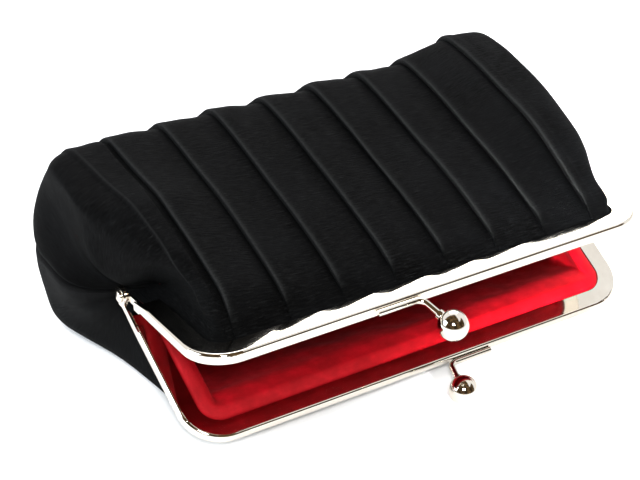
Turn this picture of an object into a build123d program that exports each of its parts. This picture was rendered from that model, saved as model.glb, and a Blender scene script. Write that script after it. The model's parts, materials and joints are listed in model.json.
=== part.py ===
"""Clutch purse on a two-piece metal kiss-lock frame, lying on its back with the mouth part open.

The two frame halves are U-shaped channels riveted together at the ends of their arms. Each half
grips the raw edge of the cloth bag, packed tight with paper cord. A ball on a bent rod stands out
of each half: the two balls pass each other to shut the purse.

Row frame, in millimetres: +X along the frame's bar, +Z up, -Y towards the clasp, origin at the
middle of the bounding box's base. Each frame half has a local frame of its own: x along the bar,
y away from the hinge, z away from the plane where the two halves meet when the purse is shut.
"""

from build123d import *
import os
from math import cos, radians, sin, sqrt

# --- frame -------------------------------------------------------------------------------------
FRAME_WIDTH = 205.0
FRAME_DEPTH = 70.5
CORNER_RADIUS = 16.5
RIM_HEIGHT = 4.8
SHEET = 0.8
OUTER_FLANGE = 8.8
INNER_FLANGE = 7.6
EDGE_ROUND = 1.2
FLANGE_SLOPE = 0.4
MEETING_GAP = 0.15
FRONT_ANGLE = 4.5
REAR_ANGLE = 27.0

# --- hinge -------------------------------------------------------------------------------------
LUG_RADIUS = 4.2
LUG_HEIGHT = 3.0
LUG_REACH = 17.0
FRONT_LUG_INSET = 1.4
FRONT_ARM_START = 13.0
REAR_ARM_START = 8.0
TAPER_START = 4.0
TAPER_END = 26.0
TAPER_HEIGHT = 2.8
CUT_MARGIN = 5.0
RIVET_RADIUS = 1.25
RIVET_CLEARANCE = 0.05
RIVET_HEAD_RADIUS = 2.4
RIVET_HEAD_HEIGHT = 0.95
WASHER_RADIUS = 3.2
WASHER_CLEARANCE = 0.04

# --- clasp -------------------------------------------------------------------------------------
BALL_RADIUS = 6.0
BALL_OFFSET = 6.2
BALL_REACH = 16.0
BALL_DROP = 3.5
ROD_RADIUS = 1.25
ROD_END_X = 30.0
ROD_BEND_X = 10.5
ROD_HEIGHT = 2.4
BEND_RADIUS = 4.0
COLLAR_RADIUS = 1.95
COLLAR_LENGTH = 1.3
COLLAR_BITE = 0.35

# --- bag ---------------------------------------------------------------------------------------
BAG_HALF_WIDTH = 117.5
BAG_BACK = 73.0
BAG_TOP = 41.5
TOP_FRONT = (-61.0, 9.0)
TOP_MIDDLE = (-8.0, 30.5)
TOP_REAR = (45.0, BAG_TOP)
SHOULDER = (52.5, 38.4)
SHOULDER_END = (58.5, 32.0)
HEEL_START = (67.0, -30.0)
HEEL_MIDDLE_Y = 62.5
HEEL_RISE = 4.0
HEEL_END_Y = 54.0
LIP_START_Y = -36.0
LIP_MIDDLE_Y = -47.0
LIP_RISE = 3.5
LIP_END = (-55.0, -32.0)
BASE_INSET = 13.5
TOP_INSET = 11.0
WIDEST_Y = 42.0
WIDEST_Z = -2.0
PLAN_FRONT = (86.0, -63.0)
PLAN_ARM = (108.0, -12.0)
PLAN_CORNER = (111.5, 64.0)
PLAN_REAR_X = 94.0
PLAN_MARGIN = 3.0
PANEL_THICKNESS = 0.8
FLEECE_THICKNESS = 1.3
LINING_THICKNESS = 0.6
LAYER_GAP = 0.05
NECK_INSET = 9.1
PUFF_GAP = 0.3
FRAME_ROOM_MARGIN = 30.0
HINGE_ROOM_LENGTH = 40.0
HINGE_RELIEF = 7.0
EDGE_INSET = 1.2
PANEL_EDGE = (3.4, 3.9)
LINING_EDGE = (2.9, 3.3)
EDGE_BITE = 0.05
FLAP_END_ANGLE = 38.0
POUCH_START_ANGLE = 90.0
SPLIT_GAP = 0.15

# --- paper cord --------------------------------------------------------------------------------
CORD_RADIUS = 0.75
CORD_INSET = 1.8
CORD_HEIGHT = 2.12
CORD_START = 27.0

FAR = 130.0
SECTOR_REACH = 220.0
SECTOR_STEP = 60.0
DIAGONAL = 1.0 - sqrt(0.5)

ball_reach = FRAME_DEPTH + BALL_REACH
rear = radians(REAR_ANGLE)
front = radians(FRONT_ANGLE)
hinge_height = ball_reach * sin(rear) - BALL_DROP * cos(rear) + BALL_RADIUS
ball_front = ball_reach * cos(front) + BALL_DROP * sin(front) + BALL_RADIUS
hinge_y = (ball_front - BAG_BACK) / 2
hinge = Vector(0, hinge_y, hinge_height)
floor = -hinge_height

front_half = Plane(origin=hinge, x_dir=(-1, 0, 0), z_dir=(0, sin(front), cos(front)))
rear_half = Plane(origin=hinge, x_dir=(1, 0, 0), z_dir=(0, sin(rear), -cos(rear)))


# --- shared shapes -----------------------------------------------------------------------------
def u_face(inset, start):
    """The frame's outline, moved inwards by inset, from y = start to the bar."""
    w = FRAME_WIDTH / 2 - inset
    d = FRAME_DEPTH - inset
    r = max(CORNER_RADIUS - inset, 1.5)
    left = ThreePointArc((-w, d - r), (-w + r * DIAGONAL, d - r * DIAGONAL), (-w + r, d))
    bar = Line((-w + r, d), (w - r, d))
    right = ThreePointArc((w - r, d), (w - r * DIAGONAL, d - r * DIAGONAL), (w, d - r))
    arms = Polyline((w, d - r), (w, start), (-w, start), (-w, d - r))
    return make_face([*left.edges(), *bar.edges(), *right.edges(), *arms.edges()])


def u_band(outer, inner, start, low, high):
    """A flat U between two insets, open towards the hinge, from z = low to z = high."""
    face = u_face(outer, start) - u_face(inner, start - 1)
    return extrude(Pos(0, 0, low) * face, high - low)


def side_prism(points):
    """A polygon in the hinge's YZ plane, drawn the full width of the bag."""
    face = make_face(Polyline(*points, close=True))
    return extrude(Plane.YZ * face, FAR, both=True)


def at_hinge(shape):
    return Pos(hinge.X, hinge.Y, hinge.Z) * shape


# --- frame halves ------------------------------------------------------------------------------
def arm_plates(inner_x, start, end, height):
    """A pair of flat plates square to X, one on each arm, next to the plane of meeting."""
    plates = []
    for side in (-1, 1):
        middle = side * (inner_x + SHEET / 2)
        plate = Box(SHEET, end - start, height - MEETING_GAP)
        plates.append(Pos(middle, (start + end) / 2, (height + MEETING_GAP) / 2) * plate)
    return plates


def lug_discs(inner_x, radius, length):
    """A pair of discs on the hinge axis, one on each arm."""
    disc = Rot(0, 90, 0) * Cylinder(radius, length)
    return [Pos(side * (inner_x + length / 2), 0, 0) * disc for side in (-1, 1)]


def frame_half(is_front):
    """One U-shaped channel with rounded rims, tapering arms and a drilled lug on each arm."""
    start = FRONT_ARM_START if is_front else REAR_ARM_START
    top = RIM_HEIGHT
    half = u_band(0, SHEET, start, MEETING_GAP, top)
    half += u_band(0, OUTER_FLANGE, start, top - SHEET, top)
    half += u_band(0, INNER_FLANGE, start, MEETING_GAP, MEETING_GAP + SHEET + FLANGE_SLOPE)
    half -= flange_slope(start)
    envelope = extrude(Pos(0, 0, MEETING_GAP) * u_face(0, 0), top - MEETING_GAP)
    rims = envelope.edges().filter_by(GeomType.LINE).filter_by(Axis.Z, reverse=True)
    rims += envelope.edges().filter_by(GeomType.CIRCLE)
    rims = ShapeList(edge for edge in rims if edge.center().Y > 1)
    half &= fillet(rims, EDGE_ROUND)
    half -= taper_cut()
    inner_x = FRAME_WIDTH / 2 - SHEET
    if is_front:
        inner_x -= FRONT_LUG_INSET
        for side in (-1, 1):
            length = SHEET + FRONT_LUG_INSET
            joggle = Box(length, LUG_REACH - start, LUG_HEIGHT - MEETING_GAP)
            x = side * (inner_x + length / 2)
            half += Pos(x, (LUG_REACH + start) / 2, (LUG_HEIGHT + MEETING_GAP) / 2) * joggle
    for plate in arm_plates(inner_x, 0, LUG_REACH, LUG_HEIGHT):
        half += plate
    for disc in lug_discs(inner_x, LUG_RADIUS, SHEET):
        half += disc
    for hole in lug_discs(inner_x - 1, RIVET_RADIUS + RIVET_CLEARANCE, SHEET + 2):
        half -= hole
    return half


def flange_slope(start):
    """The wedge that lets the inner flange fall away from the plane of meeting, towards the mouth."""
    low = Pos(0, 0, MEETING_GAP) * u_face(EDGE_ROUND, start)
    high = Pos(0, 0, MEETING_GAP + FLANGE_SLOPE) * u_face(INNER_FLANGE, start)
    return loft([low, high])


def taper_cut():
    """The wedge that thins both arms towards the hinge."""
    behind = -LUG_RADIUS - CUT_MARGIN
    above = RIM_HEIGHT + CUT_MARGIN
    profile = [(behind, TAPER_HEIGHT), (TAPER_START, TAPER_HEIGHT), (TAPER_END, RIM_HEIGHT)]
    profile += [(TAPER_END, above), (behind, above)]
    return extrude(Plane.YZ * make_face(Polyline(*profile, close=True)), FAR, both=True)


def hinge_rivet(side):
    """A rivet with a domed head outside the rear lug and one inside the front lug."""
    outside = FRAME_WIDTH / 2 + RIVET_CLEARANCE
    inside = FRAME_WIDTH / 2 - SHEET - FRONT_LUG_INSET - RIVET_CLEARANCE
    shank = Rot(0, 90, 0) * Cylinder(RIVET_RADIUS, outside - inside)
    rivet = Pos(side * (inside + outside) / 2, 0, 0) * shank
    for x, way in ((outside, side), (inside, -side)):
        head = Cylinder(RIVET_HEAD_RADIUS, RIVET_HEAD_HEIGHT)
        head = fillet(head.edges().sort_by(Axis.Z)[-1], RIVET_HEAD_HEIGHT * 0.7)
        head = Rot(0, 90 * way, 0) * head
        rivet += Pos(side * x + way * RIVET_HEAD_HEIGHT / 2, 0, 0) * head
    return at_hinge(rivet)


def hinge_washer(side):
    """The thin washer between the two lugs."""
    room = FRONT_LUG_INSET - SHEET
    washer = Cylinder(WASHER_RADIUS, room - 2 * WASHER_CLEARANCE)
    washer -= Cylinder(RIVET_RADIUS + RIVET_CLEARANCE, room)
    x = FRAME_WIDTH / 2 - SHEET - room / 2
    return at_hinge(Pos(side * x, 0, 0) * (Rot(0, 90, 0) * washer))


# --- clasp, in a half's local frame --------------------------------------------------------------
ball_centre = Vector(BALL_OFFSET, ball_reach, -BALL_DROP)
rod_bend = Vector(ROD_BEND_X, FRAME_DEPTH + ROD_RADIUS, ROD_HEIGHT)
stem_way = (ball_centre - rod_bend).normalized()


def clasp_ball():
    return Pos(ball_centre) * Sphere(BALL_RADIUS)


def clasp_collar():
    """The small collar where the rod enters the ball."""
    start = ball_centre - stem_way * (BALL_RADIUS + COLLAR_LENGTH)
    collar = extrude(Plane(origin=start, z_dir=stem_way) * Circle(COLLAR_RADIUS), COLLAR_LENGTH + COLLAR_BITE)
    return collar - clasp_ball()


def clasp_stem():
    """The bent rod, brazed along the rim and reaching out to the collar."""
    end = ball_centre - stem_way * (BALL_RADIUS + COLLAR_LENGTH)
    path = FilletPolyline((ROD_END_X, rod_bend.Y, rod_bend.Z), rod_bend, end, radius=BEND_RADIUS)
    rod = sweep(Plane(origin=path @ 0, z_dir=path % 0) * Circle(ROD_RADIUS), path)
    return rod


# --- paper cord ----------------------------------------------------------------------------------
def paper_cord():
    """Twisted paper packed into the channel behind the cloth."""
    w = FRAME_WIDTH / 2 - CORD_INSET
    d = FRAME_DEPTH - CORD_INSET
    points = [(-w, CORD_START, CORD_HEIGHT), (-w, d, CORD_HEIGHT)]
    points += [(w, d, CORD_HEIGHT), (w, CORD_START, CORD_HEIGHT)]
    path = FilletPolyline(*points, radius=CORNER_RADIUS - CORD_INSET)
    return sweep(Plane(origin=path @ 0, z_dir=path % 0) * Circle(CORD_RADIUS), path)


# --- bag -----------------------------------------------------------------------------------------
def drawn_in(face, inset):
    """A profile moved inwards by a layer's depth."""
    return offset(face, -inset, kind=Kind.INTERSECTION) if inset else face


def bag_side(inset):
    """The bag from the side, in the hinge's YZ plane: pleated top, far end, flat back."""
    top = ThreePointArc(TOP_FRONT, TOP_MIDDLE, TOP_REAR)
    shoulder = ThreePointArc(TOP_REAR, SHOULDER, SHOULDER_END)
    far_end = ThreePointArc(SHOULDER_END, (BAG_BACK, 0), HEEL_START)
    heel = ThreePointArc(HEEL_START, (HEEL_MIDDLE_Y, floor + HEEL_RISE), (HEEL_END_Y, floor))
    back = Line((HEEL_END_Y, floor), (LIP_START_Y, floor))
    lip = ThreePointArc((LIP_START_Y, floor), (LIP_MIDDLE_Y, floor + LIP_RISE), LIP_END)
    mouth = Line(LIP_END, TOP_FRONT)
    face = drawn_in(make_face([top, shoulder, far_end, heel, back, lip, mouth]), inset)
    return extrude(Plane.YZ * face, FAR, both=True)


def bag_front(inset):
    """The bag from the front, in the hinge's XZ plane: its sides bulge past the frame."""
    base_x = BAG_HALF_WIDTH - BASE_INSET
    top_x = BAG_HALF_WIDTH - TOP_INSET
    top_z = BAG_TOP + PLAN_MARGIN
    right = ThreePointArc((base_x, floor), (BAG_HALF_WIDTH, WIDEST_Z), (top_x, top_z))
    left = ThreePointArc((-top_x, top_z), (-BAG_HALF_WIDTH, WIDEST_Z), (-base_x, floor))
    top = Line((top_x, top_z), (-top_x, top_z))
    base = Line((-base_x, floor), (base_x, floor))
    face = drawn_in(make_face([right, top, left, base]), inset)
    return extrude(Plane.XZ * face, FAR, both=True)


def bag_plan(inset):
    """The bag from above: it widens from the frame's bar and turns round at the far end."""
    back_y = BAG_BACK + PLAN_MARGIN
    edges = [Line((-PLAN_FRONT[0], PLAN_FRONT[1]), PLAN_FRONT)]
    edges.append(Line((-PLAN_REAR_X, back_y), (PLAN_REAR_X, back_y)))
    for side in (-1, 1):
        widest = (side * BAG_HALF_WIDTH, WIDEST_Y)
        arm = (side * PLAN_ARM[0], PLAN_ARM[1])
        corner = (side * PLAN_CORNER[0], PLAN_CORNER[1])
        edges.append(ThreePointArc((side * PLAN_FRONT[0], PLAN_FRONT[1]), arm, widest))
        edges.append(ThreePointArc(widest, corner, (side * PLAN_REAR_X, back_y)))
    face = drawn_in(make_face(edges), inset)
    return extrude(face, FAR, both=True)


def frame_room(inset):
    """The room each frame half takes out of the bag: cloth leaves the channel at its inner edge."""
    inner = NECK_INSET + inset
    return u_band(-FRAME_ROOM_MARGIN, inner, 0, -1, RIM_HEIGHT + PUFF_GAP + inset)


def hinge_room(inset):
    """Clear space round each hinge, outside the end of the mouth."""
    inner_x = FRAME_WIDTH / 2 - NECK_INSET - inset
    discs = lug_discs(inner_x, HINGE_RELIEF + inset, HINGE_ROOM_LENGTH)
    return discs[0] + discs[1]


def bag_volume(inset):
    """Everything inside one layer's surface."""
    volume = bag_side(inset) & bag_front(inset) & bag_plan(inset)
    volume = at_hinge(volume)
    room = frame_room(inset)
    volume -= front_half.location * room
    volume -= rear_half.location * room
    return volume - at_hinge(hinge_room(inset))


def mouth_wedge(edge):
    """The open mouth between the two halves, up to the height where a layer enters the channel."""
    corners = [front_half.from_local_coords(Vector(0, 0, edge))]
    corners.append(front_half.from_local_coords(Vector(0, FAR, edge)))
    corners.append(rear_half.from_local_coords(Vector(0, FAR, edge)))
    corners.append(rear_half.from_local_coords(Vector(0, 0, edge)))
    return side_prism([(corner.Y, corner.Z) for corner in corners])


def sector(start, end):
    """A wedge about the hinge axis, in degrees above the level line towards the clasp."""
    points = [(0, 0)]
    steps = 1 + int((end - start) // SECTOR_STEP)
    for step in range(steps + 1):
        angle = radians(start + (end - start) * step / steps)
        points.append((-SECTOR_REACH * cos(angle), SECTOR_REACH * sin(angle)))
    return at_hinge(side_prism(points))


def bag_layer(outer, inner, edge, strip):
    """A layer of the whole bag, with the strip that the frame's channels grip."""
    shell = bag_volume(outer) - bag_volume(inner) - mouth_wedge(edge)
    if strip:
        low, high = strip
        grip = u_band(EDGE_INSET, NECK_INSET + inner - EDGE_BITE, CORD_START, low, high)
        shell += front_half.location * grip
        shell += rear_half.location * grip
    return shell


def split_layer(name, shell):
    """The layer's front panel in three lengths, and its rear panel."""
    half_gap = SPLIT_GAP / 2
    cuts = {
        f"front_{name}_flap": (-10, FLAP_END_ANGLE - half_gap),
        f"front_{name}_fold": (FLAP_END_ANGLE + half_gap, POUCH_START_ANGLE - half_gap),
        f"front_{name}": (POUCH_START_ANGLE + half_gap, 180),
        f"rear_{name}": (180, 350),
    }
    return {node: shell & sector(*cut) for node, cut in cuts.items()}


# --- assembly ------------------------------------------------------------------------------------
def build():
    parts = {}
    for name, half in (("front", front_half), ("rear", rear_half)):
        parts[f"{name}_frame"] = half.location * frame_half(name == "front")
        parts[f"{name}_clasp_stem"] = half.location * clasp_stem()
        parts[f"{name}_clasp_collar"] = half.location * clasp_collar()
        parts[f"{name}_clasp_ball"] = half.location * clasp_ball()
        parts[f"{name}_paper_cord"] = half.location * paper_cord()
    for name, side in (("left", -1), ("right", 1)):
        parts[f"{name}_hinge_rivet"] = hinge_rivet(side)
        parts[f"{name}_hinge_washer"] = hinge_washer(side)
    fleece = PANEL_THICKNESS + LAYER_GAP
    lining = fleece + FLEECE_THICKNESS + LAYER_GAP
    panel_shell = bag_layer(0, PANEL_THICKNESS, PANEL_EDGE[0] - EDGE_BITE, PANEL_EDGE)
    fleece_shell = bag_layer(fleece, fleece + FLEECE_THICKNESS, PANEL_EDGE[0], None)
    lining_shell = bag_layer(lining, lining + LINING_THICKNESS, LINING_EDGE[0] - EDGE_BITE, LINING_EDGE)
    parts.update(split_layer("panel", panel_shell))
    parts.update(split_layer("fleece", fleece_shell))
    parts.update(split_layer("lining", lining_shell))
    return parts


if __name__ == "__main__":
    os.makedirs("parts", exist_ok=True)
    for node, shape in build().items():
        export_step(shape, f"parts/{node}.step")
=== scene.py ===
"""How the clutch purse looks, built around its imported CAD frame.

Cloth shapes are worked out in millimetres from the hinge axis: x along the frame's bar, y away
from the clasp, z up. A layer of cloth is a grid. Its rows run round the mouth like a letter U,
from one hinge to the other, and its columns run from the frame to the seam between the panels.
"""

import json
import math

import bmesh
import bpy
import numpy as np
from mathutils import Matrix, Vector


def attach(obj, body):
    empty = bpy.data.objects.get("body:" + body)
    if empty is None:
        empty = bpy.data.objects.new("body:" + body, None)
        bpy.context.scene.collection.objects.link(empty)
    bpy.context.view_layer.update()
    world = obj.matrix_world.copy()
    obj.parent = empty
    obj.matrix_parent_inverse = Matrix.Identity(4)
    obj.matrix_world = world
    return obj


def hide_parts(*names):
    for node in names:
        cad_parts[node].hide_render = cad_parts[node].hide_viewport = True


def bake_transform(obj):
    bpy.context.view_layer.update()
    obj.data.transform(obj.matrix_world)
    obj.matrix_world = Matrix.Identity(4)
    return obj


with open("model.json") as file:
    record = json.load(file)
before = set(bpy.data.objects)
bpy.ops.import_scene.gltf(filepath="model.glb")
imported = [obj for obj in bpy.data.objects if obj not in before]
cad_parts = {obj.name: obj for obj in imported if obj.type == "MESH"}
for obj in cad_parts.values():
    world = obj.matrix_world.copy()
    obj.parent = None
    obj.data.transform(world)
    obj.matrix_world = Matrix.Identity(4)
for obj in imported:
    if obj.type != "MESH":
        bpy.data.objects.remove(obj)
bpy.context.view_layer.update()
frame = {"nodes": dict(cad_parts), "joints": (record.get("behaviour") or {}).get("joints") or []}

HINGE = np.array(frame["joints"][0]["pos_m"], float)

# --- sizes shared with the CAD, in millimetres and degrees ---------------------------------------
FRAME_HALF_WIDTH = 102.5
FRAME_DEPTH = 70.5
CORNER_RADIUS = 16.5
FRONT_ANGLE = 4.5
REAR_ANGLE = 27.0
TABLE = -float(HINGE[2]) * 1000
BAR_END = 86.0

# --- pleats --------------------------------------------------------------------------------------
PLEATS = 8
PLEAT_PITCH = 23.45
PLEAT_CENTRE = -1.4
PLEAT_HEIGHT = 2.1
LEFT_FOLD = 0.45
LEFT_FOLD_AT = 0.86
SEAM_DIP = 0.9
SEAM_WIDTH = 2.2
SEAM_ALLOWANCE = (0.5, 1.2, 2.2, 3.2)
FLAT_STEP = 1.25
CLOTH = 0.45
LINING_CLOTH = 0.35
FLEECE = 0.9
FLEECE_TRIM = 5.0
FLEECE_END = 12

# --- layers: how low each lies over the arms, how far in, and where the inner ones stop ----------
PANEL_LOW, FLEECE_LOW, LINING_LOW = 5.6, 3.4, 1.0
FLEECE_DEPTH, FLEECE_INSET, LINING_INSET = 1.8, 2.4, 4.0
INNER_END_R = 6.5
INNER_NECK_END = 8.5
PUFF_HEIGHT = 6.3


# --- small maths ---------------------------------------------------------------------------------
def ease(keys, values, at):
    """A smooth curve through a few values, without overshoot."""
    keys, values = np.asarray(keys, float), np.asarray(values, float)
    gaps = np.diff(keys)
    slopes = np.diff(values) / gaps
    product = slopes[:-1] * slopes[1:]
    total = np.where(product > 0, slopes[:-1] + slopes[1:], 1.0)
    inner = np.where(product > 0, 2 * product / total, 0.0)
    tangents = np.concatenate([slopes[:1], inner, slopes[-1:]])
    at = np.clip(np.asarray(at, float), keys[0], keys[-1])
    i = np.clip(np.searchsorted(keys, at) - 1, 0, len(gaps) - 1)
    u = (at - keys[i]) / gaps[i]
    start = values[i] * (1 + 2 * u) * (1 - u) ** 2 + gaps[i] * tangents[i] * u * (1 - u) ** 2
    end = values[i + 1] * u * u * (3 - 2 * u) - gaps[i] * tangents[i + 1] * u * u * (1 - u)
    return start + end


def smooth(low, high, at):
    u = np.clip((np.asarray(at, float) - low) / (high - low), 0, 1)
    return u * u * (3 - 2 * u)


def bump(at, centre, width):
    return np.exp(-(((np.asarray(at, float) - centre) / width) ** 2))


def along(points):
    """Distance along a line of points."""
    steps = np.linalg.norm(np.diff(points, axis=0), axis=1)
    return np.concatenate([[0.0], np.cumsum(steps)])


def spaced(points, distances):
    """Points at the given distances along a line."""
    run = along(points)
    return np.stack([np.interp(distances, run, column) for column in points.T], axis=1)


def ripple(points, wavelengths, seed, waves=14):
    """Smooth irregular waves, about -1 to 1, with a wavelength of their own along each axis."""
    rng = np.random.default_rng(seed)
    total = np.zeros(points.shape[:-1])
    for _ in range(waves):
        spread = rng.normal(size=points.shape[-1])
        vector = spread / np.linalg.norm(spread) * rng.uniform(0.6, 1.4)
        turns = points @ (vector * 2 * math.pi / np.array(wavelengths))
        total += np.sin(turns + rng.uniform(0, 6.28))
    return total / math.sqrt(waves / 2) / 1.6


# --- the two halves of the frame -----------------------------------------------------------------
class Half:
    """Directions of one half: v runs out from the hinge, n away from where the halves meet."""

    def __init__(self, name, angle):
        a = math.radians(angle)
        self.angle = abs(angle)
        self.sign = 1 if name == "front" else -1
        self.v = np.array([-math.cos(a), math.sin(a)])
        self.n = np.array([math.sin(a), math.cos(a)]) * self.sign

    def place(self, v, n):
        return np.multiply.outer(v, self.v) + np.multiply.outer(n, self.n)


FRONT = Half("front", FRONT_ANGLE)
REAR = Half("rear", -REAR_ANGLE)


def arm_height(r):
    """Height of a half's outer flange, which thins towards the hinge, as a share of the rim's."""
    return 0.62 + 0.38 * smooth(6, 30, r)


def lowest_angle(half, r, height):
    """The angle about the hinge, in degrees, of a layer that lies low over the arms of a half."""
    return half.angle + np.degrees(np.arctan(height * arm_height(r) / np.maximum(r, 5)))


def u_curve(reach, wide, corner, power, end_x, end_r, curl):
    """Half of a U in a plane through the hinge axis: bar end, rounded corner, arm, hinge end."""
    turn = np.linspace(0, math.pi / 2, 60)
    x = BAR_END + (wide - BAR_END) * np.sin(turn) ** (2 / power)
    r = reach - corner + corner * np.cos(turn) ** (2 / power)
    a = np.linspace(0, 1, 90)[1:]
    arm_x = wide - (wide - end_x) * a**curl
    arm_r = (reach - corner) + (end_r - reach + corner) * a
    return np.stack([np.concatenate([x, arm_x]), np.concatenate([r, arm_r])], axis=1)


def layer(half, profile, neck, shape, bar_x, side_count, row_steps, low, puff=None):
    """The grid of one layer's surface, rows from the frame's channel to the seam.

    profile holds (y, z) points of the middle column from the neck to the seam. neck holds (v, n)
    points inside and just outside the channel. shape gives, against the angle about the hinge,
    the layer's half width on either side, corner size, corner power and hinge end. low is the
    layer's height over the arms, from the plane where the halves meet.
    """
    neck_points = half.place(np.array([p[0] for p in neck]), np.array([p[1] for p in neck]))
    controls = np.concatenate([neck_points, np.array(profile, float)])
    run = along(controls)
    fine = np.linspace(0, run[-1], 600)
    line = np.stack([ease(run, controls[:, k], fine) for k in (0, 1)], axis=1)
    run = along(line)
    neck_length = along(controls[: len(neck) + 1])[-1]
    fine_step, step = row_steps
    free_rows = np.linspace(neck_length, run[-1], int((run[-1] - neck_length) / step))
    rows = np.concatenate([np.arange(0, neck_length, fine_step), free_rows])
    middle = spaced(line, rows)
    angle = np.degrees(np.arctan2(middle[:, 1] * half.sign, -middle[:, 0])) % 360
    angle = np.where(angle > 270, 0, angle)
    radius = np.linalg.norm(middle, axis=1)
    grid = []
    share = np.linspace(0, 1, side_count + 1)[1:]
    for point, phi, reach, distance in zip(middle, angle, radius, rows):
        v, n = point @ half.v, point @ half.n
        local = 1 - smooth(neck_length * 0.8, neck_length + 16, distance)
        sides = []
        for side in ("left", "right"):
            wide = float(ease(shape["angle"], shape[side], phi))
            corner = min(float(ease(shape["angle"], shape["corner"], phi)), 0.75 * (reach - 8))
            power = float(ease(shape["angle"], shape["power"], phi))
            end_r = float(ease(shape["angle"], shape["end_r"], phi))
            polar = u_curve(reach, wide, corner, power, shape["end_x"], end_r, shape["curl"])
            polar = spaced(polar, share * along(polar)[-1])
            floor_here = lowest_angle(half, polar[:, 1], low)
            floor_bar = lowest_angle(half, reach, low)
            part = max(phi - floor_bar, 0) / (180 - floor_bar)
            turn = np.radians(floor_here + part * (180 - floor_here))
            y = -polar[:, 1] * np.cos(turn)
            z = half.sign * polar[:, 1] * np.sin(turn)
            here = np.column_stack([polar[:, 0], y, z])
            if local > 0:
                inset = FRAME_DEPTH - v
                edge = max(FRAME_HALF_WIDTH - inset, min(shape[side]))
                round_off = max(CORNER_RADIUS - inset, 1.5)
                frame_wide = max(edge, BAR_END + 0.5)
                flat = u_curve(v, frame_wide, round_off, 2, edge - 0.5, shape["neck_end"], 6)
                flat = spaced(flat, share * along(flat)[-1])
                height = n * arm_height(flat[:, 1])
                framed = np.column_stack([flat[:, 0], half.place(flat[:, 1], height)])
                here = framed * local + here * (1 - local)
            sides.append(here)
        bar = np.column_stack([bar_x, np.full(len(bar_x), point[0]), np.full(len(bar_x), point[1])])
        mirrored = sides[0][::-1] * np.array([-1, 1, 1])
        grid.append(np.concatenate([mirrored, bar, sides[1]]))
    grid = np.array(grid)
    if puff is not None:
        r = np.linalg.norm(grid[:, :, 1:], axis=2)
        phi = np.degrees(np.arctan2(grid[:, :, 2] * half.sign, -grid[:, :, 1])) % 360
        share_of = np.clip(r / np.maximum(radius[:, None], 1), 0, 1) ** 2
        extra = puff(grid[:, :, 0], phi, rows[:, None] - neck_length) * share_of
        radial = grid[:, :, 1:] / np.maximum(r, 1)[:, :, None]
        turned = smooth(70, 140, phi)[:, :, None]
        way = radial * turned + np.array([0, half.sign]) * (1 - turned)
        grid[:, :, 1:] += way * extra[:, :, None]
    return grid, rows - neck_length


def normals(grid):
    across, down = np.gradient(grid, axis=1), np.gradient(grid, axis=0)
    n = np.cross(down, across)
    n /= np.maximum(np.linalg.norm(n, axis=2, keepdims=True), 1e-9)
    return n


def outward(grid, half):
    """Unit normals that point out of the bag."""
    n = normals(grid)
    middle = n[n.shape[0] // 3, n.shape[1] // 2]
    flip = 1 if middle[2] * half.sign > 0 else -1
    return n * flip


# --- meshes --------------------------------------------------------------------------------------
def cloth_mesh(name, grid, thickness, half, marks=()):
    """A closed sheet of cloth from a grid, with its own texture map in millimetres.

    marks are (name, values over the grid) pairs that the cloth's material reads.
    """
    rows, cols = grid.shape[:2]
    n = outward(grid, half)
    middle_row, middle_column = along(grid[rows // 2]), along(grid[:, cols // 2])
    across = (middle_row - middle_row[cols // 2])[None, :].repeat(rows, axis=0)
    down = middle_column[:, None].repeat(cols, axis=1)
    back = grid - n * thickness
    points = np.concatenate([grid.reshape(-1, 3), back.reshape(-1, 3)]) / 1000 + HINGE
    index = np.arange(rows * cols).reshape(rows, cols)
    a, b, c, d = index[:-1, :-1], index[:-1, 1:], index[1:, 1:], index[1:, :-1]
    face = np.stack([a, b, c, d], axis=-1).reshape(-1, 4)
    other = face[:, ::-1] + rows * cols
    ring = np.concatenate([index[0, :], index[1:, -1], index[-1, -2::-1], index[-2:0:-1, 0]])
    following = np.roll(ring, -1)
    rim = np.stack([following, ring, ring + rows * cols, following + rows * cols], axis=1)
    faces = np.concatenate([face, other, rim])
    first, second, third = (points[face[:, k]] for k in range(3))
    facing = np.cross(second - first, third - first) * n[:-1, :-1].reshape(-1, 3)
    if facing.sum() < 0:
        faces = faces[:, ::-1]
    mesh = bpy.data.meshes.new(name)
    mesh.vertices.add(len(points))
    mesh.vertices.foreach_set("co", points.astype(np.float32).ravel())
    mesh.loops.add(faces.size)
    mesh.loops.foreach_set("vertex_index", faces.astype(np.int32).ravel())
    mesh.polygons.add(len(faces))
    mesh.polygons.foreach_set("loop_start", np.arange(0, faces.size, 4, dtype=np.int32))
    mesh.polygons.foreach_set("use_smooth", np.ones(len(faces), bool))
    mesh.update()
    mesh.validate()
    place = np.stack([across, down], axis=2).reshape(-1, 2)
    place = np.concatenate([place, place])
    corner_vertex = np.zeros(len(mesh.loops), np.int32)
    mesh.loops.foreach_get("vertex_index", corner_vertex)
    uv = mesh.uv_layers.new(name="cloth_mm")
    uv.data.foreach_set("uv", place[corner_vertex].astype(np.float32).ravel())
    for mark, values in marks:
        layer_of = mesh.attributes.new(mark, "FLOAT", "POINT")
        flat_values = np.concatenate([values.reshape(-1), values.reshape(-1)])
        layer_of.data.foreach_set("value", flat_values.astype(np.float32))
    obj = bpy.data.objects.new(name, mesh)
    bpy.context.scene.collection.objects.link(obj)
    return obj


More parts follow.
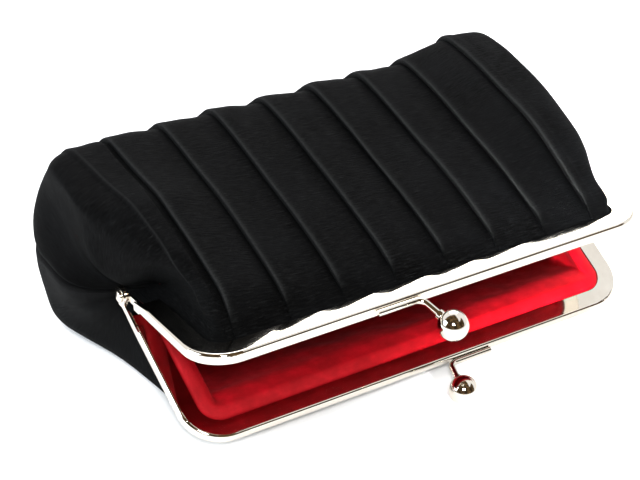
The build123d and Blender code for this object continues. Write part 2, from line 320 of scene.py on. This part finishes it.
# --- pleats --------------------------------------------------------------------------------------
FOLD = [(-4.0, 0.10), (-2.4, 0.05), (-1.1, 0.02), (-0.4, 0.0), (0.3, 0.0), (1.4, 0.0), (2.8, 0.0)]
FOLD += [(4.0, 0.02), (4.5, 0.12), (4.6, 0.22), (4.3, 0.32), (3.4, 0.36), (2.2, 0.37), (1.2, 0.38)]
FOLD += [(0.55, 0.41), (0.2, 0.48), (0.03, 0.58), (0.0, 0.70), (0.1, 0.82), (0.35, 0.92)]
FOLD += [(0.8, 0.98), (1.5, 1.0), (2.6, 1.0), (4.0, 0.97)]
FOLD_TOP = 16
FOLD_REST = 0.75
LEFT_REST = 0.5


def pleat_section():
    """The cloth's line across the pleated panel, fold by fold.

    Gives x, the height as a share of the pleat's height, the weight of a painted highlight along
    each pressed fold edge, and the weight of painted shade in the recess beside and under a
    fold.
    """
    points = [(-BAR_END, LEFT_REST, 0.0, 0.0)]
    for i in range(PLEATS):
        edge = PLEAT_CENTRE + (i - (PLEATS - 1) / 2) * PLEAT_PITCH
        points += between(points[-1], (edge + FOLD[0][0], FOLD[0][1], 0.0, 0.0))
        for k, (dx, height) in enumerate(FOLD):
            # painted highlight: weight of a lighter colour along the fold's top edge, standing in
            # for its lit rim
            pressed = float(bump(k, FOLD_TOP + 2.6, 1.9)) if k >= FOLD_TOP else 0.0
            # painted shade: weight of near-black colour in the recess beside and under the fold
            painted_recess_shade = float(smooth(-2.6, 0.2, dx)) if k < FOLD_TOP else 0.0
            if edge + dx > -BAR_END:
                points.append((edge + dx, height, pressed, painted_recess_shade))
    points += between(points[-1], (BAR_END, FOLD_REST, 0.0, 0.0))
    return np.array(points).T


def between(start, end):
    """Points at an even step from one point to the next, both left out."""
    start, end = np.array(start), np.array(end)
    count = max(int((end[0] - start[0]) / FLAT_STEP), 2)
    return [tuple(start + (end - start) * k / count) for k in range(1, count)]


# --- shapes --------------------------------------------------------------------------------------
OUTER_FRONT = dict(
    angle=(9, 14, 22, 34, 48, 70, 95, 120, 150, 180),
    left=(93.2, 89.8, 88.8, 91.5, 98.0, 103.5, 107.0, 110.5, 110.5, 117.5),
    right=(93.6, 92.3, 95.5, 101.5, 104.5, 105.5, 104.0, 101.0, 101.0, 117.5),
    corner=(7.4, 7.4, 8, 10, 11, 12, 9.5, 7, 23, 31),
    power=(2, 2, 2, 2.2, 2.4, 2.8, 4.0, 7.0, 4.0, 2),
    end_r=(3, 2.4, 1.8, 1.4, 1, 1, 1, 1, 1, 1),
    end_x=90.5,
    curl=5,
    neck_end=3,
)
REAR_WIDTHS = (93.4, 91.0, 91.0, 93.5, 96.5, 98.5, 102.5, 107.5, 112.5, 115.5, 117.5)
OUTER_REAR = dict(
    angle=(31, 36, 44, 56, 75, 95, 115, 130, 145, 160, 180),
    left=REAR_WIDTHS,
    right=REAR_WIDTHS,
    corner=(7.4, 7.6, 8, 8, 8, 9, 11, 15, 20, 26, 31),
    power=(2, 2, 2.1, 2.2, 2.4, 2.6, 2.6, 2.4, 2.2, 2, 2),
    end_r=(4, 3.4, 2.6, 2, 1.4, 1, 1, 1, 1, 1, 1),
    end_x=90.5,
    curl=5,
    neck_end=4,
)
FRONT_PROFILE = [(-54.6, 12.6), (-46, 16.6), (-34, 21.2), (-18, 26.3), (0, 31.2), (17, 36.0)]
FRONT_PROFILE += [(33, 39.6), (43.5, 41.0), (49, 39.6), (54.5, 35.6), (61.5, 29.2), (67.6, 20.5)]
FRONT_PROFILE += [(71.6, 10), (73, 0)]
REAR_PROFILE = [(-48.4, -36.8), (-43.0, -40.4), (-34, TABLE), (-10, TABLE), (20, TABLE)]
REAR_PROFILE += [(48, TABLE)]
REAR_PROFILE += [(59, -40.4), (66.5, -34), (71.2, -24), (73.2, -12), (73, 0)]


def inner_shape(shape, by):
    """The same shape for a layer that lies further in."""
    made = dict(shape)
    for side in ("left", "right"):
        pairs = zip(shape["angle"], shape[side])
        values = [wide - by * (0.3 + 0.7 * smooth(20, 60, angle)) for angle, wide in pairs]
        made[side] = tuple(max(wide, BAR_END + 1.2) for wide in values)
    made["end_x"] = shape["end_x"] - 0.5 * by
    made["end_r"] = tuple(max(r, INNER_END_R) + 0.2 * by for r in shape["end_r"])
    made["neck_end"] = INNER_NECK_END
    return made


def inner_profile(profile, by):
    """The same profile moved inwards."""
    line = np.array(profile, float)
    tangent = np.gradient(line, axis=0)
    normal = np.stack([tangent[:, 1], -tangent[:, 0]], axis=1)
    normal /= np.linalg.norm(normal, axis=1, keepdims=True)
    middle = line[len(line) // 3]
    if np.dot(normal[len(line) // 3], middle) > 0:
        normal = -normal
    return [tuple(p) for p in line + normal * by]


def front_puff(x, phi, run):
    """The pleated top stands higher at both ends than in the middle."""
    left = PUFF_HEIGHT * bump(x, -86, 24) * smooth(-5, 10, run) * (1 - smooth(85, 136, phi))
    rising = smooth(52, 80, x) * smooth(0, 50, run)
    right = PUFF_HEIGHT * rising * (1 + 0.25 * smooth(100, 130, phi))
    return left + right * (1 - smooth(132, 152, phi))


def turned_seam(grid, run):
    """Both panels dip in along the seam, and their edges turn inside the bag side by side."""
    last = grid[-1]
    tangent = np.gradient(last, axis=0)
    inward = np.stack([tangent[:, 1], -tangent[:, 0], np.zeros(len(last))], axis=1)
    inward /= np.maximum(np.linalg.norm(inward, axis=1, keepdims=True), 1e-9)
    if inward[len(last) // 2, 1] > 0:
        inward = -inward
    dip = SEAM_DIP * bump(run, run[-1], SEAM_WIDTH)
    grid = grid + dip[:, None, None] * inward[None]
    up = np.sign(grid[-3, len(last) // 2, 2])
    turned = [grid[-1] + inward * depth + np.array([0, 0, 0.12 * up]) for depth in SEAM_ALLOWANCE]
    return np.concatenate([grid, np.array(turned)])


# --- outer panels --------------------------------------------------------------------------------
PANEL_NECK = [(67.0, 3.55), (63.0, 3.55), (61.3, 3.7), (60.0, 4.4), (58.6, 5.5)]


def front_outer_panel():
    xs, heights, painted_edge_highlight, painted_recess_shade = pleat_section()
    shape = (FRONT_PROFILE, PANEL_NECK, OUTER_FRONT)
    grid, run = layer(FRONT, *shape, xs, 84, (0.7, 1.4), PANEL_LOW, front_puff)
    n = outward(grid, FRONT)
    cols = grid.shape[1]
    side = (cols - len(xs)) // 2
    lift = np.concatenate([np.zeros(side), heights, np.zeros(side)])
    place = np.linspace(0, 1, side)
    lift[:side] = LEFT_REST * smooth(0.55, 1.0, place)
    rise = smooth(LEFT_FOLD_AT - 0.012, LEFT_FOLD_AT, place)
    lift[:side] += LEFT_FOLD * rise * (1 - smooth(LEFT_FOLD_AT, 0.96, place))
    lift[-side:] = FOLD_REST * (1 - smooth(0.0, 0.5, place))
    pressed = 0.12 + 0.88 * smooth(-6.5, 5.0, run)
    total = run[-1]
    pressed *= 1 - 0.75 * smooth(total - 10, total, run)
    grid = grid + n * (lift[None, :] * PLEAT_HEIGHT * pressed[:, None])[:, :, None]
    # soft waves: long ones down the pleats, and small gathers where the cloth leaves the channel
    free = (smooth(0, 16, run) * (1 - smooth(total - 14, total, run)))[:, None]
    waves = 0.55 * ripple(grid, (34, 90, 90), 3) + 0.22 * ripple(grid, (12, 46, 46), 5)
    near_channel = (smooth(1, 6, run) * (1 - smooth(8, 22, run)))[:, None]
    gathers = 0.16 * ripple(grid, (9, 60, 60), 8) * near_channel
    grid = grid + n * (waves * free + gathers)[:, :, None]
    grid = turned_seam(grid, run)
    marks = []
    # the marks carry a painted highlight along the fold edges and painted shade in the recesses
    for mark, across in (("painted_edge_highlight", painted_edge_highlight), ("painted_recess_shade", painted_recess_shade)):
        line = np.concatenate([np.zeros(side), across, np.zeros(side)])
        # the left end's fold edge gets the painted highlight too
        if mark == "painted_edge_highlight":
            line[:side] = 0.7 * bump(place, LEFT_FOLD_AT + 0.004, 0.006)
        fade = np.concatenate([smooth(-2, 7, run), np.ones(len(SEAM_ALLOWANCE))])
        marks.append((mark, line[None, :] * fade[:, None]))
    return cloth_mesh("front_outer_panel", grid, CLOTH, FRONT, marks)


def rear_outer_panel():
    xs = np.linspace(-BAR_END, BAR_END, 120)
    grid, run = layer(REAR, REAR_PROFILE, PANEL_NECK, OUTER_REAR, xs, 80, (0.7, 1.5), PANEL_LOW)
    n = outward(grid, REAR)
    total = run[-1]
    free = (smooth(0, 12, run) * (1 - smooth(total - 12, total, run)))[:, None]
    waves = 0.7 * ripple(grid, (40, 60, 40), 21) + 0.25 * ripple(grid, (16, 30, 22), 23)
    grid = grid + n * (waves * free)[:, :, None]
    grid = turned_seam(grid, run)
    grid[:, :, 2] = np.maximum(grid[:, :, 2], TABLE + 0.02)
    return cloth_mesh("rear_outer_panel", grid, CLOTH, REAR)


# --- fleece and lining ---------------------------------------------------------------------------
FLEECE_NECK_FRONT = [(61.0, 4.3), (60.4, 5.4)]
FLEECE_NECK_REAR = [(61.0, 4.3), (60.0, 5.4)]
LINING_NECK_FRONT = [(67.0, 3.0), (64.0, 2.9), (62.6, 2.0), (61.6, 0.9), (59.8, 0.45), (57.0, 0.9)]
LINING_NECK_REAR = [(67.0, 3.0), (64.0, 2.9), (62.6, 2.0), (61.8, 0.5), (60.2, -0.5), (57.6, -0.9)]
LINING_FRONT_PROFILE = [(-52, 7.4), (-44, 12.0), (-33, 16.8), (-18, 22), (0, 27.1), (17, 32.3)]
LINING_FRONT_PROFILE += [(34, 35.8), (42, 36.4), (46.6, 34.8), (52.0, 30.8), (58.4, 24.6)]
LINING_FRONT_PROFILE += [(63.8, 17.2), (67.4, 8.5), (69, 0)]
LINING_REAR_PROFILE = [(-46, -25.0), (-38, -27.4), (-24, -32.2), (-4, -36.4), (20, -38.6)]
LINING_REAR_PROFILE += [(45, -38.4), (57, -36), (63.4, -30), (67.4, -21), (69.2, -10), (69.2, 0)]


def lining(half, name, profile, neck, shape, seed):
    xs = np.linspace(-BAR_END, BAR_END, 130)
    puff = front_puff if half is FRONT else None
    shape = inner_shape(shape, LINING_INSET)
    grid, run = layer(half, profile, neck, shape, xs, 80, (0.6, 1.4), LINING_LOW, puff)
    n = outward(grid, half)
    total = run[-1]
    free = (smooth(0, 14, run) * (1 - smooth(total - 10, total, run)))[:, None]
    waves = 0.9 * ripple(grid, (46, 40, 40), seed) + 0.35 * ripple(grid, (18, 16, 16), seed + 1)
    grid = grid + n * (waves * free)[:, :, None]
    return cloth_mesh(name, grid, LINING_CLOTH, half)


def fleece(half, name, profile, neck, shape):
    xs = np.linspace(-BAR_END, BAR_END, 90)
    puff = front_puff if half is FRONT else None
    line = inner_profile(profile, FLEECE_DEPTH)
    shape = inner_shape(shape, FLEECE_INSET)
    grid, run = layer(half, line, neck, shape, xs, 60, (0.8, 2.0), FLEECE_LOW, puff)
    kept = (run > FLEECE_TRIM) & (run < run[-1] - FLEECE_TRIM)
    grid = grid[kept][:, FLEECE_END:-FLEECE_END]
    return cloth_mesh(name, grid, FLEECE, half)


# --- materials -----------------------------------------------------------------------------------
class Nodes:
    """A short way to build one material's nodes."""

    def __init__(self, name):
        self.material = bpy.data.materials.new(name)
        self.material.use_nodes = True
        self.tree = self.material.node_tree
        self.shader = self.tree.nodes["Principled BSDF"]

    def add(self, kind, links=(), **settings):
        node = self.tree.nodes.new(kind)
        for key, value in settings.items():
            if hasattr(node, key):
                setattr(node, key, value)
            else:
                node.inputs[key.replace("_", " ")].default_value = value
        for socket, source in dict(links).items():
            self.tree.links.new(source, node.inputs[socket])
        return node

    def into(self, socket, source):
        self.tree.links.new(source, self.shader.inputs[socket])

    def place(self, scale, uv=True):
        if uv:
            source = self.add("ShaderNodeUVMap", uv_map="cloth_mm").outputs["UV"]
        else:
            source = self.add("ShaderNodeTexCoord").outputs["Object"]
        return self.add("ShaderNodeMapping", {"Vector": source}, Scale=scale).outputs["Vector"]

    def mark(self, name):
        """A value painted on the mesh's own points."""
        return self.add("ShaderNodeAttribute", attribute_name=name).outputs["Fac"]

    def noise(self, scale, detail=4, rough=0.55, uv=True):
        vector = self.place(scale, uv)
        settings = dict(Scale=1.0, Detail=detail, Roughness=rough)
        return self.add("ShaderNodeTexNoise", {"Vector": vector}, **settings).outputs["Fac"]

    def ramp(self, source, stops):
        node = self.add("ShaderNodeValToRGB", {"Fac": source})
        while len(node.color_ramp.elements) < len(stops):
            node.color_ramp.elements.new(0.5)
        for element, (position, colour) in zip(node.color_ramp.elements, stops):
            element.position = position
            element.color = (*colour, 1)
        return node.outputs["Color"]

    def math(self, operation, a, b):
        node = self.add("ShaderNodeMath", operation=operation)
        for k, value in enumerate((a, b)):
            if isinstance(value, (int, float)):
                node.inputs[k].default_value = value
            else:
                self.tree.links.new(value, node.inputs[k])
        return node.outputs[0]

    def weigh(self, a, a_share, b, b_share):
        """The sum of two values, each times its share."""
        first = self.math("MULTIPLY", a, a_share)
        return self.math("ADD", first, self.math("MULTIPLY", b, b_share))

    def mix(self, share, a, b):
        node = self.add("ShaderNodeMix", data_type="RGBA", blend_type="MIX")
        for socket, value in (("Factor", share), ("A", a), ("B", b)):
            target = [s for s in node.inputs if s.name == socket and s.enabled][0]
            if isinstance(value, (int, float)):
                target.default_value = value
            elif isinstance(value, tuple):
                target.default_value = (*value, 1)
            else:
                self.tree.links.new(value, target)
        return [s for s in node.outputs if s.enabled][0]

    def remap(self, source, low, high, to_low, to_high):
        node = self.add("ShaderNodeMapRange", {"Value": source})
        names = ("From Min", "From Max", "To Min", "To Max")
        for name, value in zip(names, (low, high, to_low, to_high)):
            node.inputs[name].default_value = value
        return node.outputs["Result"]

    def bump(self, height, distance, strength=1.0):
        settings = dict(Strength=strength, Distance=distance)
        return self.add("ShaderNodeBump", {"Height": height}, **settings).outputs["Normal"]

    def finish(self, **values):
        """Plain values for the shader, with _ for a space in a socket's name."""
        for socket, value in values.items():
            self.shader.inputs[socket.replace("_", " ")].default_value = value
        return self.material


def slub_cloth():
    """Black silk-like cloth with a plain weave and uneven slubs running across the bag."""
    m = Nodes("slub_cloth")
    slub = m.noise((0.16, 2.1, 1), 5, 0.6)
    streak = m.noise((0.22, 1.5, 1), 4, 0.65)
    fine = m.noise((0.9, 5.5, 1), 3, 0.6)
    warp = m.noise((6.0, 0.6, 1), 2, 0.5)
    cloud = m.noise((0.03, 0.045, 1), 3, 0.5)
    tone = m.weigh(slub, 0.6, fine, 0.4)
    stops = [(0.40, (0.0000, 0.0000, 0.0000)), (0.52, (0.0006, 0.0006, 0.0006))]
    stops += [(0.66, (0.0028, 0.0030, 0.0030)), (0.78, (0.0118, 0.0122, 0.0120))]
    colour = m.ramp(tone, stops)
    streaks = m.remap(streak, 0.54, 0.72, 0.0, 1.0)
    raised = m.math("MULTIPLY", streaks, m.remap(fine, 0.35, 0.65, 0.2, 1.0))
    colour = m.mix(raised, colour, (0.0118, 0.0123, 0.0123))
    colour = m.mix(m.remap(cloud, 0.42, 0.70, 0.0, 0.35), colour, (0.0030, 0.0033, 0.0037))
    # painted highlight along the pressed fold edges, and painted shade in the recesses beside them
    pressed = m.mark("painted_edge_highlight")
    painted_recess_shade = m.mark("painted_recess_shade")
    # painted highlight: a lighter colour along each pressed fold edge
    edge_highlight = m.math("MULTIPLY", pressed, m.remap(fine, 0.3, 0.65, 0.25, 0.9))
    colour = m.mix(edge_highlight, colour, (0.021, 0.0215, 0.0215))
    # painted shade: near-black colour in the recesses beside and under each fold
    colour = m.mix(m.math("MULTIPLY", painted_recess_shade, 0.93), colour, (0.0002, 0.0002, 0.0002))
    lint_place = m.place((0.16, 0.16, 1))
    lint = m.add("ShaderNodeTexVoronoi", {"Vector": lint_place}, Scale=1.0, Randomness=1.0)
    speck = m.remap(lint.outputs["Distance"], 0.02, 0.035, 1.0, 0.0)
    rare = m.remap(m.noise((0.09, 0.09, 1), 1, 0.5), 0.56, 0.60, 0.0, 1.0)
    linty = m.math("MULTIPLY", m.math("MULTIPLY", speck, rare), 0.4)
    colour = m.mix(linty, colour, (0.12, 0.12, 0.115))
    m.into("Base Color", colour)
    m.into("Roughness", m.remap(slub, 0.3, 0.75, 0.90, 0.62))
    weave = m.weigh(fine, 0.7, warp, 0.35)
    weave = m.math("ADD", weave, m.weigh(slub, 0.9, streak, 0.8))
    m.into("Normal", m.bump(weave, 0.00034, 1.0))
    return m.finish(
        Sheen_Weight=0.0045,
        Sheen_Roughness=0.45,
        Sheen_Tint=(0.62, 0.72, 0.85, 1),
        Specular_IOR_Level=0.045,
    )


def lining_cloth():
    """Bright red lining with a short soft nap."""
    m = Nodes("lining_cloth")
    nap = m.noise((0.10, 0.12, 1), 4, 0.6)
    grain = m.noise((3.2, 3.2, 1), 3, 0.6)
    tone = m.weigh(nap, 0.75, grain, 0.25)
    stops = [(0.30, (0.15, 0.0004, 0.0018)), (0.52, (0.235, 0.0007, 0.0034))]
    stops += [(0.72, (0.35, 0.0018, 0.0075))]
    colour = m.ramp(tone, stops)
    m.into("Base Color", colour)
    m.into("Roughness", m.remap(nap, 0.3, 0.7, 0.82, 0.62))
    m.into("Normal", m.bump(m.math("ADD", grain, m.math("MULTIPLY", nap, 0.6)), 0.00018, 0.6))
    return m.finish(
        Sheen_Weight=0.05,
        Sheen_Roughness=0.4,
        Sheen_Tint=(1.0, 0.20, 0.22, 1),
        Specular_IOR_Level=0.12,
    )


def fleece_cloth():
    """Off-white bonded padding."""
    m = Nodes("fleece_padding")
    fuzz = m.noise((1.4, 1.4, 1), 6, 0.7)
    m.into("Base Color", m.ramp(fuzz, [(0.3, (0.62, 0.59, 0.53)), (0.7, (0.80, 0.78, 0.73))]))
    m.into("Roughness", m.remap(fuzz, 0.3, 0.7, 0.97, 0.88))
    m.into("Normal", m.bump(fuzz, 0.0004, 0.8))
    return m.material


def nickel():
    """Polished nickel plating, faintly warm, with hairline rubbing."""
    m = Nodes("polished_nickel")
    cloud = m.noise((90, 90, 90), 3, 0.5, uv=False)
    hair = m.noise((180, 2600, 2600), 2, 0.5, uv=False)
    tones = [(0.35, (0.70, 0.650, 0.575)), (0.65, (0.755, 0.71, 0.640))]
    m.into("Base Color", m.ramp(cloud, tones))
    rubbed = m.remap(hair, 0.45, 0.8, 0.035, 0.10)
    m.into("Roughness", m.math("ADD", rubbed, m.remap(cloud, 0.4, 0.7, 0.0, 0.03)))
    m.into("Normal", m.bump(hair, 0.000012, 0.35))
    return m.finish(Metallic=1.0)


def twisted_paper():
    """Brown twisted paper cord."""
    m = Nodes("twisted_paper")
    vector = m.place((420, 420, 420), uv=False)
    bands = dict(wave_type="BANDS", bands_direction="DIAGONAL")
    bands.update(Scale=1.0, Distortion=1.5, Detail=2.0)
    twist = m.add("ShaderNodeTexWave", {"Vector": vector}, **bands).outputs["Fac"]
    m.into("Base Color", m.ramp(twist, [(0.2, (0.30, 0.19, 0.10)), (0.8, (0.52, 0.37, 0.22))]))
    m.into("Roughness", m.remap(twist, 0.0, 1.0, 0.92, 0.78))
    m.into("Normal", m.bump(twist, 0.0002, 0.8))
    return m.material


def table_top():
    m = Nodes("pale_table")
    patch = m.noise((1.3, 1.3, 1.3), 3, 0.5, uv=False)
    m.into("Base Color", m.ramp(patch, [(0.3, (0.93, 0.93, 0.93)), (0.7, (0.96, 0.96, 0.955))]))
    m.into("Roughness", m.remap(patch, 0.3, 0.7, 0.55, 0.5))
    return m.material


# --- put the object together ---------------------------------------------------------------------
def finish_cad_nodes():
    metal, paper = nickel(), twisted_paper()
    for name, node in frame["nodes"].items():
        soft = any(word in name for word in ("panel", "fleece", "lining"))
        if soft:
            continue
        node.data.materials.clear()
        node.data.materials.append(paper if "paper" in name else metal)


def dress(obj, material, body):
    obj.data.materials.append(material)
    if body:
        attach(obj, body)
    return obj


def cross_hinge(obj):
    """Bakes a front layer's placement into its mesh."""
    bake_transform(obj)


def make_bag():
    outer, red, padding = slub_cloth(), lining_cloth(), fleece_cloth()
    pieces = {}
    pieces["front_panel"] = front_outer_panel()
    pieces["rear_panel"] = rear_outer_panel()
    pieces["front_lining"] = lining(
        FRONT, "front_lining_cloth", LINING_FRONT_PROFILE, LINING_NECK_FRONT, OUTER_FRONT, 41
    )
    pieces["rear_lining"] = lining(
        REAR, "rear_lining_cloth", LINING_REAR_PROFILE, LINING_NECK_REAR, OUTER_REAR, 51
    )
    pieces["front_fleece"] = fleece(
        FRONT, "front_fleece_padding", FRONT_PROFILE, FLEECE_NECK_FRONT, OUTER_FRONT
    )
    pieces["rear_fleece"] = fleece(
        REAR, "rear_fleece_padding", REAR_PROFILE, FLEECE_NECK_REAR, OUTER_REAR
    )
    looks = {"panel": (outer, "outer_cloth"), "lining": (red, "lining")}
    looks["fleece"] = (padding, "fleece")
    for name, obj in pieces.items():
        side, kind = name.split("_")
        material, slot = looks[kind]
        dress(obj, material, None if side == "front" else "rear")
        if side == "front":
            cross_hinge(obj)
            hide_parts(name, f"{name}_flap", f"{name}_fold")
        else:
            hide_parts(name)
    return pieces


# --- studio --------------------------------------------------------------------------------------
CAMERA_AZIMUTH, CAMERA_ELEVATION = math.radians(-30.96), math.radians(31.2)
CAMERA_DISTANCE = 0.6959
ROOM_RADIUS = 2.4
ROOM_SPREAD = math.radians(80)
CAMERA_BACK = Vector(
    (math.sin(CAMERA_AZIMUTH), -math.cos(CAMERA_AZIMUTH), math.tan(CAMERA_ELEVATION))
).normalized()
CAMERA_LENS = 94.8
CAMERA_RIGHT, CAMERA_UP = 0.01052, 0.005475
WORLD_STRENGTH = 1.16
BAG_TARGET = (0, 0, 0.03)
MOUTH_TARGET = (0.082, -0.056, 0.022)


def area_light(name, place, target, size, power, colour=(1, 1, 1)):
    data = bpy.data.lights.new(name, "AREA")
    data.shape = "RECTANGLE"
    data.size, data.size_y = size
    data.energy = power
    data.color = colour
    obj = bpy.data.objects.new(name, data)
    bpy.context.scene.collection.objects.link(obj)
    obj.location = place
    way = Vector(target) - Vector(place)
    obj.rotation_euler = way.to_track_quat("-Z", "Y").to_euler()
    return obj


def dark_room():
    """The unlit room behind the camera: part of a dome that only polished surfaces see."""
    bm = bmesh.new()
    bmesh.ops.create_icosphere(bm, subdivisions=5, radius=ROOM_RADIUS)
    away = [face for face in bm.faces if not in_room(face.calc_center_median().normalized())]
    bmesh.ops.delete(bm, geom=away, context="FACES")
    mesh = bpy.data.meshes.new("dark_room")
    bm.to_mesh(mesh)
    bm.free()
    room = bpy.data.objects.new("dark_room", mesh)
    bpy.context.scene.collection.objects.link(room)
    room.location = HINGE
    m = Nodes("dark_room")
    shade = m.noise((1.6, 1.6, 1.6), 2, 0.5, uv=False)
    shades = [(0.40, (0.030, 0.020, 0.012)), (0.62, (0.16, 0.10, 0.045))]
    m.into("Base Color", m.ramp(shade, shades))
    mesh.materials.append(m.finish(Specular_IOR_Level=0.0))
    room.visible_camera = room.visible_diffuse = room.visible_shadow = False
    room.visible_transmission = room.visible_volume_scatter = False


def in_room(way):
    """True for the directions, seen from the object, where the room is dark."""
    lit_corner = way.x > 0.33 and way.z > 0.70
    return way.angle(CAMERA_BACK) < ROOM_SPREAD and way.z > 0.03 and not lit_corner


def studio():
    bpy.ops.mesh.primitive_plane_add(size=8)
    floor = bpy.context.object
    floor.name = "studio_floor"
    floor.data.materials.append(table_top())
    world = bpy.data.worlds.new("studio_world")
    world.use_nodes = True
    background = world.node_tree.nodes["Background"]
    background.inputs["Color"].default_value = (1.0, 1.0, 1.0, 1)
    background.inputs["Strength"].default_value = WORLD_STRENGTH
    bpy.context.scene.world = world
    eye = Vector(HINGE) + CAMERA_BACK * CAMERA_DISTANCE
    area_light("front_light", eye + Vector((0, 0, 0.07)), (0, -0.01, 0.03), (0.14, 0.14), 5.0)
    area_light("back_light", (0.55, 0.75, 0.75), BAG_TARGET, (0.7, 0.7), 7.0)
    area_light("left_light", (-0.9, 0.25, 0.45), BAG_TARGET, (0.5, 0.5), 6.0, (0.78, 0.90, 1.0))
    mouth = area_light("mouth_light", (-0.10, -0.60, 0.16), MOUTH_TARGET, (0.1, 0.1), 0.36)
    mouth.data.spread = math.radians(16)
    mouth.visible_glossy = False
    dark_room()


def camera():
    data = bpy.data.cameras.new("camera")
    data.lens = CAMERA_LENS
    data.sensor_width = 36.0
    data.clip_start, data.clip_end = 0.05, 20
    obj = bpy.data.objects.new("camera", data)
    bpy.context.scene.collection.objects.link(obj)
    turn = (-CAMERA_BACK).to_track_quat("-Z", "Y")
    right, up = turn @ Vector((1, 0, 0)), turn @ Vector((0, 1, 0))
    aim = Vector(HINGE) + CAMERA_BACK * CAMERA_DISTANCE
    obj.location = aim - right * CAMERA_RIGHT - up * CAMERA_UP
    obj.rotation_mode = "QUATERNION"
    obj.rotation_quaternion = turn
    bpy.context.scene.camera = obj


finish_cad_nodes()
pieces = make_bag()
studio()
camera()
bpy.context.scene.view_settings.view_transform = "Standard"
